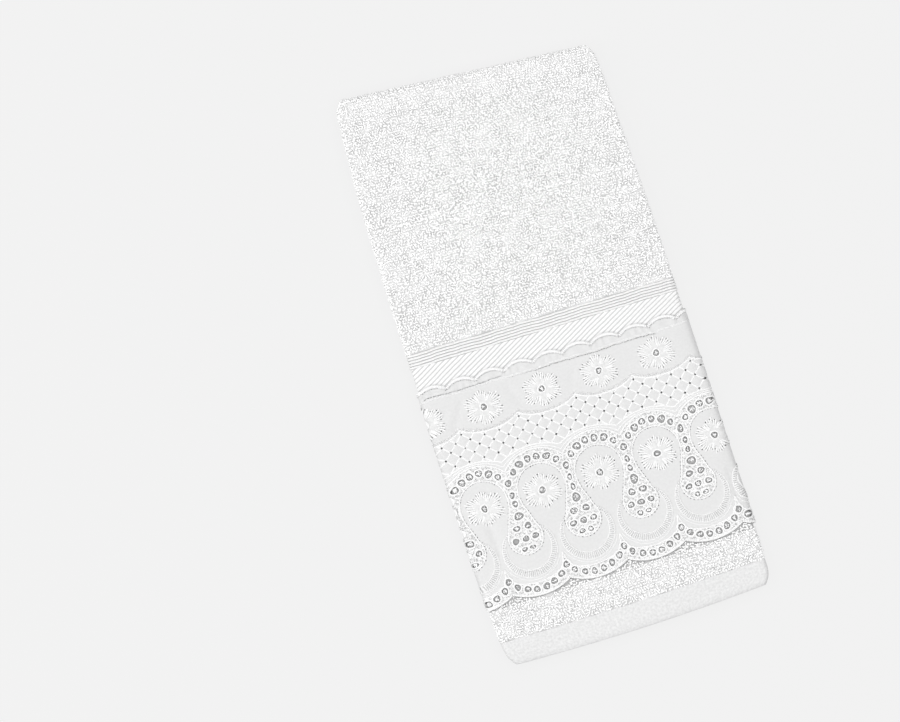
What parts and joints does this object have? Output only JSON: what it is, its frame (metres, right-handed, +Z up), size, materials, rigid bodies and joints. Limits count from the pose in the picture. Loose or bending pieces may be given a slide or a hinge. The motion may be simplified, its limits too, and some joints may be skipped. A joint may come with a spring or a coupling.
{
  "type": "hand towel",
  "caption": "Folded terry hand towel with a scalloped eyelet-lace border, a ribbed woven band and a flat hem.",
  "frame": {"origin": "on the surface that the towel lies on, under the middle of its box", "axes": "+Y from the hem towards the top fold, +Z up out of the face, +X across the towel"},
  "size_m": [0.179, 0.3751, 0.0159],
  "materials": {
    "terry_cotton": "white looped cotton terry with flat woven bands",
    "eyelet_cotton": "thin white cotton with satin-stitched eyelets"
  },
  "bodies": {
    "root": {"towel": "terry_cotton", "lace_trim": "eyelet_cotton"}
  },
  "joints": []
}
